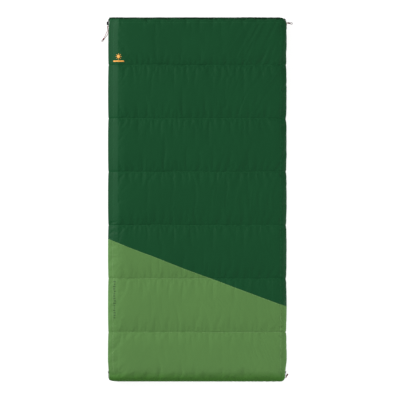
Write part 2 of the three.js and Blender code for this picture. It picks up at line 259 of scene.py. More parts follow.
def woven(name, colour, shade, roughness, pitch, sheen=0.0, specular=0.06, edge=None):
    """Plain-woven cloth: crossed threads and slow clouds of a second shade. With edge, (y where it starts, y
    where it is full, colour), painted shade darkens it towards one end."""
    cloth = Finish(name, colour, roughness, specular, sheen)
    cloth.tint(cloth.noise(6.0, 4.0), colour, shade)
    # The edge tint is painted shade: a darker colour near one end, where the cloth turns away from the light.
    if edge:
        start, full, deep = edge
        height = cloth.add("ShaderNodeSeparateXYZ", links={0: cloth.place}).outputs["Y"]
        wander = cloth.calculate("MULTIPLY", cloth.calculate("SUBTRACT", cloth.noise(28.0), 0.5), 14 * MM)
        moved = cloth.calculate("ADD", height, wander)
        share = cloth.add("ShaderNodeMapRange", links={0: moved, 1: start, 2: full}).outputs[0]
        cloth.tint(share, cloth.shader.inputs["Base Color"].links[0].from_socket, deep)
    threads = cloth.calculate("MULTIPLY", cloth.wave("X", pitch), cloth.wave("Y", pitch))
    crumple = cloth.calculate("MULTIPLY", cloth.noise(55.0), 4.0)
    cloth.relief(cloth.calculate("ADD", threads, crumple), 0.15 * MM, 0.5)
    return cloth.material


def solid(name, colour, shade, roughness, grain, depth, **settings):
    """Hard or moulded stuff, with a fine grain in its colour and its bump."""
    stuff = Finish(name, colour, roughness, **settings)
    speckle = stuff.noise(grain)
    stuff.tint(speckle, colour, shade)
    stuff.relief(speckle, depth, 0.6)
    return stuff.material


def braid(name, colour, tracer):
    """Braided cord: crossed diagonal ridges, with a paler tracer strand every third crossing."""
    cord = Finish(name, colour, 0.85, 0.05)
    pitch = 1.3 * MM
    ridges = cord.calculate("MULTIPLY", cord.wave("DIAGONAL", pitch), cord.wave("Z", pitch))
    cord.tint(cord.wave("DIAGONAL", 3.9 * MM), colour, tracer)
    cord.relief(ridges, 0.25 * MM)
    return cord.material


# Painted shade: the cloth is darkened at the bound head edge, where the hem folds under, and more slowly
# where it turns into the roll at the foot.
HEAD_PAINTED_SHADE = (HEAD - 11 * MM, HEAD - 5 * MM, "#06200f")
FOOT_PAINTED_SHADE = (FOOT + 54 * MM, FOOT + 14 * MM, "#376224")
# Calendered taffeta gives the large panels their even, faintly silky face.
DARK_CLOTH = woven("dark_green_polyester_taffeta", "#0f3b20", "#114023", 0.55, 1.1 * MM, edge=HEAD_PAINTED_SHADE)
LIGHT_CLOTH = woven("light_green_polyester_taffeta", "#4a6d3b", "#4f733e", 0.6, 1.1 * MM, edge=FOOT_PAINTED_SHADE)
# A brushed lining is duller and softer than the shell.
LINING_CLOTH = woven("grey_green_brushed_polyester_lining", "#53665a", "#5e7264", 0.85, 1.4 * MM, 0.25, 0.1)
# Ribbed zip tape reads as a darker, coarser strip beside the taffeta.
TAPE_CLOTH = woven("dark_green_herringbone_zip_tape", "#0c1d14", "#12291c", 0.8, 0.9 * MM, 0.1, 0.15)
# Moulded nylon catches small dull highlights on every tooth.
TEETH_NYLON = solid("black_nylon_zip_coil", "#0a0c0c", "#121617", 0.5, 900.0, 0.02 * MM, specular=0.15)
# Lacquered zinc is the darkest and glossiest thing on the quilt.
SLIDER_METAL = solid("black_lacquered_zinc", "#050505", "#0a0a0a", 0.5, 500.0, 0.02 * MM, specular=0.15)
# Matt plastic lets the tab part from the glossier slider it hangs on.
TAB_PLASTIC = solid("matt_black_acetal_tab", "#060606", "#0c0c0c", 0.6, 700.0, 0.03 * MM, specular=0.1)
# Braid with a paler tracer makes the two strands of a pull show against a white ground.
PULL_BRAID = braid("red_brown_braid_with_pale_tracer", "#6d0f0c", "#842c26")
RING_BRAID = braid("grey_brown_braid", "#52302e", "#6c4b48")
# The smooth sleeve is the darkest red, and marks the end of each pull.
SLEEVE_RUBBER = solid(
    "dark_red_heat_shrink_sleeve", "#540c0a", "#641412", 0.6, 400.0, 0.05 * MM, specular=0.08
)
# Spun polyester thread is a little lighter than the cloth it sinks into. The pale thread is partly its own
# colour and partly a painted highlight, lightened further to show the highlight along the diagonal seam.
DARK_THREAD = solid("green_spun_polyester_thread", "#1b5832", "#226439", 0.7, 1500.0, 0.05 * MM)
PALE_THREAD_WITH_PAINTED_HIGHLIGHT = solid("pale_green_spun_polyester_thread", "#7f9f6c", "#8bab78", 0.7, 1500.0, 0.05 * MM)
# The raised gold embroidery is the one warm spot on the quilt.
GOLD_THREAD = solid("gold_satin_embroidery", "#cf8c33", "#dd9c40", 0.45, 1200.0, 0.15 * MM, sheen=0.3)
# The print is only a shade deeper than the cloth, and flat.
PRINT_INK = solid("dark_green_screen_print", "#1f3a18", "#25421c", 0.7, 600.0, 0.02 * MM)


# ---- Camera, light and floor ----


def lamp(name, place, power, size):
    """A soft square light of that size, in metres, aimed at the middle of the floor."""
    data = bpy.data.lights.new(name, "AREA")
    data.energy = power
    data.size = size
    light = placed(name, data)
    x, y, z = place
    light.location = place
    light.rotation_euler = (math.atan2(math.hypot(x, y), z), 0, math.atan2(x, -y))


def studio():
    """A camera straight above a white floor, a low light from the upper left and a weaker one opposite."""
    scene = bpy.context.scene
    scene.view_settings.view_transform = "Standard"
    data = bpy.data.cameras.new("camera")
    camera = placed("camera", data)
    distance = 14.0
    field = 2.0936
    data.sensor_width = 36
    data.lens = data.sensor_width * (distance - MIDDLE) / field
    data.clip_end = 100
    camera.location = (0.0157, -0.0026, distance)
    scene.camera = camera

    world = bpy.data.worlds.new("studio")
    world.use_nodes = True
    background = world.node_tree.nodes["Background"]
    background.inputs["Color"].default_value = (1, 1, 1, 1)
    background.inputs["Strength"].default_value = 0.5
    scene.world = world
    lamp("key_light", (-6.9, 2.9, 3.7), 1015, 2.4)
    lamp("fill_light", (5.1, -1.5, 2.6), 225, 2.6)

    # A table lit from below keeps the ground white, so that thin cords still show on it.
    table = Finish("white_light_table", "#8a8a8a", roughness=0.95, specular=0.0)
    table.tint(table.noise(50.0), "#888888", "#8c8c8c")
    table.shader.inputs["Emission Color"].default_value = (1, 1, 1, 1)
    table.shader.inputs["Emission Strength"].default_value = 0.83
    points = [(30 * x, 30 * y, -0.2 * MM) for x, y in ((-1, -1), (1, -1), (1, 1), (-1, 1))]
    piece("floor", points, [[0, 1, 2, 3]], table.material, smooth=False)


# ---- The shape of a quilted layer ----


def lattice_noise(x, y, seed):
    """Value noise from -1 to 1: random heights on a unit lattice, joined by smoothsteps."""
    size = 256
    table = np.random.default_rng(seed).uniform(-1, 1, (size, size))
    x = np.asarray(x, float) + 64.37
    y = np.asarray(y, float) + 64.71
    i = np.floor(x).astype(int)
    j = np.floor(y).astype(int)
    a = x - i
    b = y - j
    a = a * a * (3 - 2 * a)
    b = b * b * (3 - 2 * b)
    low, left = i % size, j % size
    high, right = (i + 1) % size, (j + 1) % size
    here = table[low, left] * (1 - a) + table[high, left] * a
    there = table[low, right] * (1 - a) + table[high, right] * a
    return here * (1 - b) + there * b


def curve_through(points, steps=24):
    """A centripetal Catmull-Rom curve through the points, with that many steps between two of them."""
    points = np.asarray(points, float)
    ends = np.concatenate([2 * points[:1] - points[1:2], points, 2 * points[-1:] - points[-2:-1]])
    gaps = np.maximum(np.linalg.norm(np.diff(ends, axis=0), axis=1), 1e-9) ** 0.5
    knots = np.concatenate([[0], np.cumsum(gaps)])
    result = []
    for k in range(1, len(ends) - 2):
        t = np.linspace(knots[k], knots[k + 1], steps, endpoint=False)[:, None]
        knot = knots[k - 1 : k + 3]
        level = ends[k - 1 : k + 3]
        for span, first in ((1, 0), (2, 0), (1, 1)):
            count = len(level) - 1
            starts = knot[first : first + count]
            stops = knot[first + span : first + span + count]
            level = [
                a + (b - a) * (t - start) / (stop - start)
                for a, b, start, stop in zip(level, level[1:], starts, stops)
            ]
        result.append(level[0])
    return np.concatenate([*result, points[-1:]])


class Edge:
    """A padded edge's outline as functions of the cloth's distance from the zip."""

    def __init__(self, outline):
        inside, share, bulge = curve_through(np.array(outline) * [MM, LOFT, 20 * MM]).T
        self.inside = inside
        self.share = share / LOFT
        self.bulge = np.clip(bulge / (20 * MM), 0, 1)
        self.distance = np.concatenate([[0], np.cumsum(np.hypot(np.diff(inside), np.diff(share)))])
        self.length = self.distance[-1]
        self.depth = inside[-1]

    def at(self, distance):
        curves = (self.inside, self.share, self.bulge)
        places = [np.interp(distance, self.distance, curve) for curve in curves]
        places[0] = np.where(distance > self.length, self.depth + distance - self.length, places[0])
        return places

    def cloth_distance(self, inside):
        """The cloth's distance from the zip at that distance inside the widest point."""
        if inside >= self.depth:
            return self.length + inside - self.depth
        upper = len(self.inside) // 3
        return float(np.interp(inside, self.inside[upper:], self.distance[upper:]))


EDGES = {-1: Edge(LEFT_EDGE), 1: Edge(RIGHT_EDGE)}
END = Edge(HEAD_EDGE)
REACH = {side: edge.length + SIDE - edge.depth for side, edge in EDGES.items()}
FACING_SEAM = {side: REACH[side] - edge.cloth_distance(FACING) for side, edge in EDGES.items()}
ROLL = (INNER + LOFT) * math.pi / 2
LENGTH = ROLL + (HEAD - END.depth - FOLD) + END.length
SEAM_MIDDLE = (SEAM_LEFT + SEAM_RIGHT) / 2
HEM_ROW = LENGTH - END.length - 6 * MM
BINDING = END.cloth_distance(7 * MM)


def row_of(y):
    """The cloth coordinate v of a place on the flat of the layer."""
    return ROLL + y - FOLD


def seam_place(x):
    """The y of the diagonal seam between the two shell panels, with a slight sag."""
    share = (x + SIDE) / (2 * SIDE)
    return SEAM_LEFT + (SEAM_RIGHT - SEAM_LEFT) * share - 5 * MM * np.sin(math.pi * np.clip(share, 0, 1))


def line_gap(v):
    """The distance from a cloth row to the nearest quilt line."""
    return np.min([np.abs(v - row_of(line)) for line in QUILT_LINES], axis=0)


def puff(v):
    """How far the fill lifts a row: 0 on a quilt line, near 1 in the middle of a channel."""
    gap = line_gap(v)
    return 1 - 0.55 * np.exp(-gap / (12 * MM)) - 0.45 * np.exp(-((gap / (60 * MM)) ** 2))


def layer(u, v, front=True):
    """The shell of one layer: the lining's path, straight with a quarter turn at the foot, plus its normal
    times the loft, which the edge outlines round off and the quilt lines pull down."""
    left = EDGES[-1].at(REACH[-1] + u)
    right = EDGES[1].at(REACH[1] - u)
    inside, share, bulge = [np.where(u < 0, a, b) for a, b in zip(left, right)]
    # Near the foot the left edge is as steep as the right one.
    fuller = 0.15 + 0.85 * np.clip((v - ROLL - 0.05) / 0.4, 0, 1)
    above_zip = np.clip((share - ZIP_SHARE) / (1 - ZIP_SHARE), 0, 1)
    share = np.where(u < 0, ZIP_SHARE + (1 - ZIP_SHARE) * above_zip**fuller, share)
    x = np.sign(u) * (SIDE - inside)
    end_inside, end_share, _ = END.at(LENGTH - v)
    lift = puff(v)
    past_roll = v > ROLL
    from_ends = np.clip((v - ROLL) / 0.1, 0, 1) * np.clip((LENGTH - v) / 0.1, 0, 1)
    wander = 2.2 * MM * lattice_noise(x / 0.15, v / 0.2, SEED) * from_ends
    y = np.where(past_roll, HEAD - end_inside, FOLD) + wander
    angle = np.where(past_roll, math.pi / 2, math.pi - v / (INNER + LOFT))
    crest = CREST * lift - LINE_DEPTH * (1 - lift) if front else -5 * MM * (1 - lift)
    crest = crest - 8 * MM * np.exp(-(((v - ROLL + 4 * MM) / (25 * MM)) ** 2))
    over_roll = np.clip(v / ROLL, 0, 1)
    height = (LOFT + crest * over_roll) * share * end_share
    # The bulge starts past the lower sliders, which the layer turns about.
    past_sliders = np.clip((v - ROLL - 12 * MM) / (60 * MM), 0, 1)
    widening = past_sliders * (np.where(u < 0, LEFT_BULGE, RIGHT_BULGE) if front else BACK_BULGE)
    x = x + np.sign(u) * bulge * widening * (0.45 + 0.55 * lift)
    # The left slider draws the head corner in.
    pull = HEAD_PULL / (1 + ((LENGTH - v) / 0.038) ** 4) + 3 * MM * np.exp((v - LENGTH) / 0.15)
    x = x + pull * (u < 0) * np.clip((share - ZIP_SHARE) / 0.2, 0, 1) * np.exp(-((inside / 0.06) ** 2))
    at_head = np.clip(1 - (LENGTH - v) / 0.07, 0, 1) * end_share
    y = y + 2.6 * MM * lattice_noise(x / 0.045, 0.5, SEED + 12) * at_head
    out = INNER + height
    z = np.sin(angle) * out
    points = np.stack([x, y + np.cos(angle) * out, MIDDLE + (z if front else -z)], axis=-1)
    return rounded_corners(points)


def rounded_corners(points):
    """Turns the square corners of the plan into round ones, by the elliptical map of a square to a disc."""
    result = points.copy()
    for (side, end), radius in CORNER_RADII.items():
        widest = SIDE + (0 if end < 0 else LEFT_BULGE if side < 0 else RIGHT_BULGE)
        middle = [widest - radius, (HEAD if end > 0 else -FOOT) - radius]
        a = (side * points[..., 0] - middle[0]) / radius
        b = (end * points[..., 1] - middle[1]) / radius
        inside = (a > 0) & (b > 0)
        a = np.clip(a, 0, 1)
        b = np.clip(b, 0, 1)
        x = side * (middle[0] + radius * a * np.sqrt(1 - b * b / 2))
        y = end * (middle[1] + radius * b * np.sqrt(1 - a * a / 2))
        result[inside, :2] = np.stack([x, y], axis=-1)[inside]
    return result


def wrinkles(u, v):
    """Puckers that fade away from each quilt line, drag lines that lean outwards over the right half, and
    small gathers along the side edges."""
    height = np.zeros(np.shape(u))
    right_half = np.clip((u + 0.02) / 0.32, 0, 1)
    rows = [row_of(line) for line in QUILT_LINES] + [ROLL + 8 * MM, LENGTH - END.length]
    for number, row in enumerate(rows):
        gap = v - row
        half = np.where(gap > 0, number, number + 40)
        reach = 26 * MM + 60 * MM * np.clip(lattice_noise(u / 0.09, half * 3.3, SEED + 1), 0, 1)
        slant = 0.35 * lattice_noise(u / 0.2, half * 5.1, SEED + 2) - (0.5 if number == 6 else 0)
        across = u + slant * gap
        pattern = lattice_noise(across / (12 * MM), half * 7.7, SEED + 3)
        pattern = pattern + 0.5 * lattice_noise(across / (7 * MM), half * 7.7 + v / 0.05, SEED + 4)
        height += (0.34 + 0.14 * right_half) * MM * pattern * np.exp(-np.abs(gap) / reach)
    centre = v - row_of(-0.05)
    bow = 26 * MM * lattice_noise(u / 0.22, v / 0.16, SEED + 9)
    lean = 0.5 * np.sqrt(centre**2 + 0.2**2)
    across = u - lean + bow
    drag = 1 - np.abs(lattice_noise(across / (17 * MM), v / 0.13, SEED + 5))
    patches = np.clip(lattice_noise(u / 0.17, v / 0.12, SEED + 6) + 0.55, 0, 1)
    height += 2.3 * MM * (drag - 0.6) * patches * (0.1 + 0.9 * right_half)
    for side, seam in FACING_SEAM.items():
        gap = np.abs(side * u - seam)
        gathers = lattice_noise(side * u / 0.05, v / (11 * MM) + side * u / (30 * MM), SEED + 7 + side)
        height += (0.12 if side < 0 else 0.5) * MM * gathers * np.exp(-gap / (13 * MM))
    return height


def grooves(u, v, seam_row):
    """The sewn lines sunk into the cloth: quilt lines, facing seams, the hem and the diagonal seam, where the
    light panel also laps over the dark one."""
    depth = 1.1 * MM * np.exp(-((line_gap(v) / (3.2 * MM)) ** 2))
    depth += 1.1 * MM * np.exp(-(((HEM_ROW - v) / (3 * MM)) ** 2))
    binding = LENGTH - BINDING - v + 4 * MM * lattice_noise(u / 0.05, 0.5, SEED + 13)
    depth += 4.5 * MM * np.exp(-((binding / (3.4 * MM)) ** 2))
    for side, seam in FACING_SEAM.items():
        depth += (0.35 if side < 0 else 1.0) * MM * np.exp(-(((side * u - seam) / (2.6 * MM)) ** 2))
    past = v - seam_row
    depth += 0.9 * MM * np.exp(-((past / (3 * MM)) ** 2)) * np.sign(past + 1e-9)
    return -depth


# ---- Cloth work ----


def inflate(points, pins):
    """The settled points of a cloth simulation: the cloth, cut a little too long, is held at its pins and
    pushed out by the fill, so that it buckles between its seams."""
    frames = 16
    rows, columns = points.shape[:2]
    cloth = piece("working_cloth", points, grid_faces(rows, columns), DARK_CLOTH)
    group = cloth.vertex_groups.new(name="pins")
    for level in np.unique(pins[pins > 0]):
        group.add(np.flatnonzero(pins.ravel() == level).tolist(), float(level), "REPLACE")
    modifier = cloth.modifiers.new("cloth", "CLOTH")
    values = {
        "quality": 6, "mass": 0.12, "tension_stiffness": 12, "compression_stiffness": 12,
        "shear_stiffness": 4, "bending_stiffness": 0.2, "tension_damping": 4, "compression_damping": 4,
        "air_damping": 2, "use_pressure": True, "uniform_pressure_force": 0.6, "shrink_min": -0.008,
        "vertex_group_mass": "pins", "pin_stiffness": 1.0,
    }
    for key, value in values.items():
        setattr(modifier.settings, key, value)
    modifier.settings.effector_weights.gravity = 0
    modifier.collision_settings.use_collision = False
    modifier.point_cache.frame_end = frames
    scene = bpy.context.scene
    scene.frame_start = 1
    scene.frame_end = frames
    for number in range(1, frames + 1):
        scene.frame_set(number)
    settled = cloth.evaluated_get(bpy.context.evaluated_depsgraph_get()).data
    result = np.zeros(len(settled.vertices) * 3, np.float32)
    settled.vertices.foreach_get("co", result)
    bpy.data.objects.remove(cloth)
    scene.frame_set(1)
    return result.reshape(rows, columns, 3).astype(float)


def stepped(stops, cell):
    """Places from the first stop to the last, evenly about cell apart, that include every stop."""
    parts = [np.linspace(a, b, max(1, round((b - a) / cell)) + 1)[1:] for a, b in zip(stops, stops[1:])]
    return np.concatenate([[stops[0]], *parts])


class Shell:
    """A layer's cloth, settled for the front layer only, with a point and a normal at any cloth coordinates.
    """

    def __init__(self, front):
        self.front = front
        shoulder = EDGES[-1].length - REACH[-1]
        quilt_rows = [row_of(line) for line in QUILT_LINES[::-1]]
        self.u = stepped([-REACH[-1], shoulder, REACH[1]], SIM_CELL)
        self.v = stepped([0, ROLL, *quilt_rows, LENGTH - END.length, LENGTH], SIM_CELL)
        u, v = np.meshgrid(self.u, self.v)
        self.points = layer(u, v, front)
        if front:
            self.settle(u, v, shoulder)

    def settle(self, u, v, shoulder):
        """Lets the cloth buckle between its pinned lines, then presses down what rises too high."""
        pins = np.zeros(u.shape)
        pins[line_gap(v) < 0.1 * MM] = 1
        pins[[0, 1, -2, -1], :] = 1
        pins[:, [0, 1, -2, -1]] = 1
        pins[(u < shoulder) & (pins == 0) & (v > row_of(-0.12))] = 0.7
        pins[(np.abs(u - shoulder) < 0.1 * MM) & (v > ROLL)] = 1
        loose = 0.8 * MM * lattice_noise(u / (23 * MM), v / (60 * MM), SEED + 15) * (pins == 0)
        self.points = inflate(self.points + loose[..., None] * [0, 0, 1], pins)
        room = 9 * MM
        over = np.maximum(self.points[..., 2] - (HEIGHT + 2 * MM), 0)
        self.points[..., 2] -= over - room * np.tanh(over / room) * 0.8

    def spread(self, u, v):
        """Catmull-Rom interpolation between the grid's points."""
        column = np.interp(u, self.u, np.arange(len(self.u)))
        row = np.interp(v, self.v, np.arange(len(self.v)))
        result = 0
        for down, row_weight in zip(*self.weights(row, len(self.v))):
            for along, column_weight in zip(*self.weights(column, len(self.u))):
                result = result + (row_weight * column_weight)[..., None] * self.points[down, along]
        return result

    @staticmethod
    def weights(place, count):
        """The four rows or columns around a place, and the Catmull-Rom weight of each."""
        first = np.clip(np.floor(place).astype(int), 0, count - 2)
        t = place - first
        outer = [-t * (1 - t) ** 2 / 2, -t * t * (1 - t) / 2]
        inner = [1 + t * t * (1.5 * t - 2.5), t * (1 + t * (4 - 3 * t)) / 2]
        return [np.clip(first + k, 0, count - 1) for k in (-1, 0, 1, 2)], [outer[0], *inner, outer[1]]

    def at(self, u, v, lift=0.0):
        """The cloth with its wrinkles and sewn lines, raised by lift. Gives points and normals."""
        step = 1.5 * MM
        base = self.spread(u, v)
        across = self.spread(u + step, v) - self.spread(u - step, v)
        along = self.spread(u, v + step) - self.spread(u, v - step)
        normal = np.cross(across, along) * (1 if self.front else -1)
        normal /= np.maximum(np.linalg.norm(normal, axis=-1, keepdims=True), 1e-12)
        border = np.minimum(np.minimum(REACH[-1] + u, REACH[1] - u), np.minimum(LENGTH - v, v + 4 * MM))
        fade = np.clip(border / (8 * MM), 0, 1)
        seam_row = row_of(seam_place(base[..., 0])) if self.front else np.full(np.shape(u), -1.0)
        depth = grooves(u, v, seam_row) + wrinkles(u, v)
        depth = depth * (1 if self.front else 0.5) * fade
        return base + normal * (depth + lift)[..., None], normal


def fine_grid(cell, seam=False):
    """The cloth coordinates of a shell's final mesh, with the column and row numbers of its seams. With seam,
    the rows lean over so that one of them is the diagonal seam."""
    columns = stepped([-REACH[-1], -FACING_SEAM[-1], FACING_SEAM[1], REACH[1]], cell)
    rows = stepped([0, ROLL, row_of(SEAM_MIDDLE), LENGTH - END.length], cell)
    rows = np.concatenate([rows[:-1], stepped([LENGTH - END.length, LENGTH], cell / 2)])
    u, v = np.meshgrid(columns, rows)
    if seam:
        lean = 0.5 * (1 + np.cos(math.pi * np.clip((v - row_of(SEAM_MIDDLE)) / 0.45, -1, 1)))
        x = np.clip(u, -SIDE, SIDE)
        v = v + (seam_place(x) - SEAM_MIDDLE) * lean
    left = int(np.searchsorted(columns, -FACING_SEAM[-1] - 1e-6))
    right = int(np.searchsorted(columns, FACING_SEAM[1] - 1e-6))
    seam_row = int(np.searchsorted(rows, row_of(SEAM_MIDDLE) - 1e-6))
    return u, v, left, right, seam_row


def bend_at_fold(shape):
    """Bakes a piece's placement into its points."""
    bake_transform(shape)


def shell_piece(name, points, material, front, replaced, second=None, first_rows=0):
    """One cut panel of a shell. With second, its rows past first_rows are of that cloth."""
    rows, columns = points.shape[:2]
    panel = piece(name, points, grid_faces(rows, columns, flip=not front), material)
    if second:
        panel.data.materials.append(second)
        index = np.repeat((np.arange(rows - 1) >= first_rows).astype(np.int32), columns - 1)
        panel.data.polygons.foreach_set("material_index", index)
    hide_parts(*replaced)
    return panel


def build_bands(layer_name, points, left, right, *second):
    """A layer's two bands along the zips."""
    for name, part in (("left", slice(0, left + 1)), ("right", slice(right, None))):
        settings = (LIGHT_CLOTH, layer_name == "front", [f"{layer_name}_{name}_facing"], *second)
        bend_at_fold(shell_piece(f"{layer_name}_{name}_band", points[:, part], *settings))


def build_shells():
    """Both layers, the front one settled, cut into their panels and bands."""
    front = Shell(True)
    u, v, left, right, seam_row = fine_grid(FINE_CELL * (1), seam=True)
    points = front.at(u, v)[0]
    upper = points[seam_row:, left : right + 1]
    lower = points[: seam_row + 1, left : right + 1]
    nodes = ["front_upper_shell", "front_fill"]
    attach(shell_piece("front_dark_panel", upper, DARK_CLOTH, True, nodes), "front")
    bend_at_fold(shell_piece("front_light_panel", lower, LIGHT_CLOTH, True, ["front_lower_shell"]))
    build_bands("front", points, left, right, DARK_CLOTH, seam_row)

    back = Shell(False)
    u, v, left, right, _ = fine_grid(5 * MM)
    points = back.at(u, v)[0]
    points[..., 2] = np.maximum(points[..., 2], 0.05 * MM)
    nodes = ["back_shell", "back_fill", "foot_shell", "foot_fill"]
    bend_at_fold(shell_piece("back_panel", points[:, left : right + 1], LIGHT_CLOTH, False, nodes))
    build_bands("back", points, left, right)
    return front, back


# ---- Linings ----


def lining_points(shell, y_rows):
    """A lining between a shell's two zip edges: flat at its quilt lines, slightly full between them."""
    v = np.interp(y_rows, [FOLD, HEAD - END.depth, HEAD], [ROLL, LENGTH - END.length, LENGTH])
    left = shell.spread(np.full(v.shape, -REACH[-1]), v)
    right = shell.spread(np.full(v.shape, REACH[1]), v)
    share = np.linspace(0, 1, 131)
    points = left[:, None] * (1 - share[:, None]) + right[:, None] * share[:, None]
    u = points[..., 0]
    rows = np.broadcast_to(v[:, None], u.shape)
    from_sides = np.minimum(share, 1 - share)[None] * 2 * SIDE
    border = np.minimum(from_sides, np.minimum(rows - ROLL, LENGTH - rows))
    rise = np.clip(border / (25 * MM), 0, 1)
    fullness = 3.0 * MM * puff(rows) * rise
    crumple = 0.35 * MM * lattice_noise(u / (14 * MM), rows / (40 * MM), SEED + 20) * rise
    way = 1 if shell.front else -1
    sunk = MIDDLE + way * INNER
    edge = points[..., 2] - sunk
    points[..., 2] = sunk + edge * (1 - rise) - (fullness + crumple) * way
    return points


def build_linings(front, back):
    """Both linings and the strip that joins them around the fold."""
    rows = stepped([FOLD, HEAD - END.depth, HEAD], 7 * MM)
    for shell, name in ((front, "front"), (back, "back")):
        points = lining_points(shell, rows)
        faces = grid_faces(*points.shape[:2], flip=shell.front)
        sheet = piece(f"{name}_quilted_lining", points, faces, LINING_CLOTH)
        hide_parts(f"{name}_lining")
        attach(sheet, name)
    angle = np.linspace(-math.pi / 2, -3 * math.pi / 2, 13)[:, None]
    x = np.linspace(-SIDE + 1.4 * MM, SIDE - 1.4 * MM, 131)[None]
    y = FOLD + INNER * np.cos(angle) + 0 * x
    z = MIDDLE + INNER * np.sin(angle) + 0 * x
    turn = piece("fold_lining", np.stack([x + 0 * y, y, z], -1), grid_faces(13, 131, flip=True), LINING_CLOTH)
    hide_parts("foot_lining")
    bend_at_fold(turn)


# ---- Zips ----


def zip_curve(shell, side, y, middle):
    """The x of a zip's middle at those y: straight, but never outside its shell's own edge."""
    v = np.linspace(ROLL, LENGTH, 800)
    edge = shell.spread(np.full(v.shape, REACH[side] * side), v)
    limit = np.abs(np.interp(y, edge[:, 1], edge[:, 0])) - 0.6 * MM
    return side * np.minimum(limit, middle)


def build_tape(name, shell, side, middle):
    """A zip's tape: a flat strip that stands on edge behind the teeth."""
    low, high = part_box(f"{name}_tape")
    y = stepped([low.y, HEAD - 30 * MM], 12 * MM)
    y = np.concatenate([y, stepped([HEAD - 28 * MM, HEAD - 9 * MM], 2 * MM)])
    x = zip_curve(shell, side, y, middle)
    near = low.z if shell.front else high.z
    deep = near + (4.2 * MM if shell.front else -4.2 * MM)
    half = 0.4 * MM
    corners = [(-half, near), (half, near), (half, deep), (-half, deep)]
    rings = np.array([[(x_at + dx, y_at, z) for dx, z in corners] for x_at, y_at in zip(x, y)])
    tape = swept(f"{name}_tape_cloth", rings, TAPE_CLOTH)
    tape.data.polygons.foreach_set("use_smooth", np.zeros(len(tape.data.polygons), bool))
    return tape


def build_teeth(name, shell, side, middle):
    """A zip's teeth, each a block that swells below its tip. The back row is half a pitch on, to mesh."""
    low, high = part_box(f"{name}_teeth")
    pitch = 3.0 * MM
    y = np.arange(low.y + (0 if shell.front else pitch / 2), HEAD - 12 * MM, pitch)
    x = zip_curve(shell, side, y, middle)
    foot = high.z if shell.front else low.z
    tip = -3.9 * MM if shell.front else 3.9 * MM
    wide = 1.35 * MM
    # Across the row, the share of the way to the tip, and half the thickness in mm.
    half_outline = [(wide, 0, 0.55), (wide, 0.45, 0.55), (wide * 0.9, 0.8, 0.75), (wide * 0.45, 1, 0.6)]
    other_half = [(-across, share, thick) for across, share, thick in half_outline[::-1]]
    outline = [other_half[-1], *half_outline, *other_half[:-1]]
    block = [(across, way * thick * MM, share * tip) for way in (-1, 1) for across, share, thick in outline]
    centres = np.stack([x, y, np.full(y.shape, foot)], axis=-1)
    points = centres[:, None] + np.array(block)[None]
    ring = np.arange(8)
    after = (ring + 1) % 8
    sides = np.stack([ring, after, after + 8, ring + 8], axis=-1)
    caps = np.array([[0, 1, 2, 7], [7, 2, 3, 6], [6, 3, 4, 5]])
    faces = np.concatenate([sides, caps[:, ::-1], caps + 8])
    teeth = piece(f"{name}_coil", points, repeated(16, faces, len(y)), TEETH_NYLON, smooth=False)
    return reworked(teeth, turn_outward)


def build_zip(shell, side):
    """One side's tape and teeth on one layer."""
    layer_name = "front" if shell.front else "back"
    name = f"{layer_name}_{'left' if side < 0 else 'right'}_zip"
    low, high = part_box(f"{name}_tape")
    middle = (abs(low.x) + abs(high.x)) / 2
    for build, node in ((build_tape, "tape"), (build_teeth, "teeth")):
        part = build(name, shell, side, middle)
        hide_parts(f"{name}_{node}")
        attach(part, layer_name)


# ---- Hard parts ----


def softened(node, name, material, body, width):
    """A moulded or cast part: the frame's own shape with its edges rounded over."""
    copy = placed(name, frame["nodes"][node].data.copy())
    reworked(copy, join_points, turn_outward, join_flat_faces)
    copy.data.materials.clear()
    copy.data.materials.append(material)
    bevel = copy.modifiers.new("rounded edges", "BEVEL")
    bevel.width = width
    bevel.segments = 2
    bevel.limit_method = "ANGLE"
    bevel.angle_limit = math.radians(35)
    copy.data.polygons.foreach_set("use_smooth", np.zeros(len(copy.data.polygons), bool))
    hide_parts(node)
    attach(copy, body)


# ---- Cord pulls ----

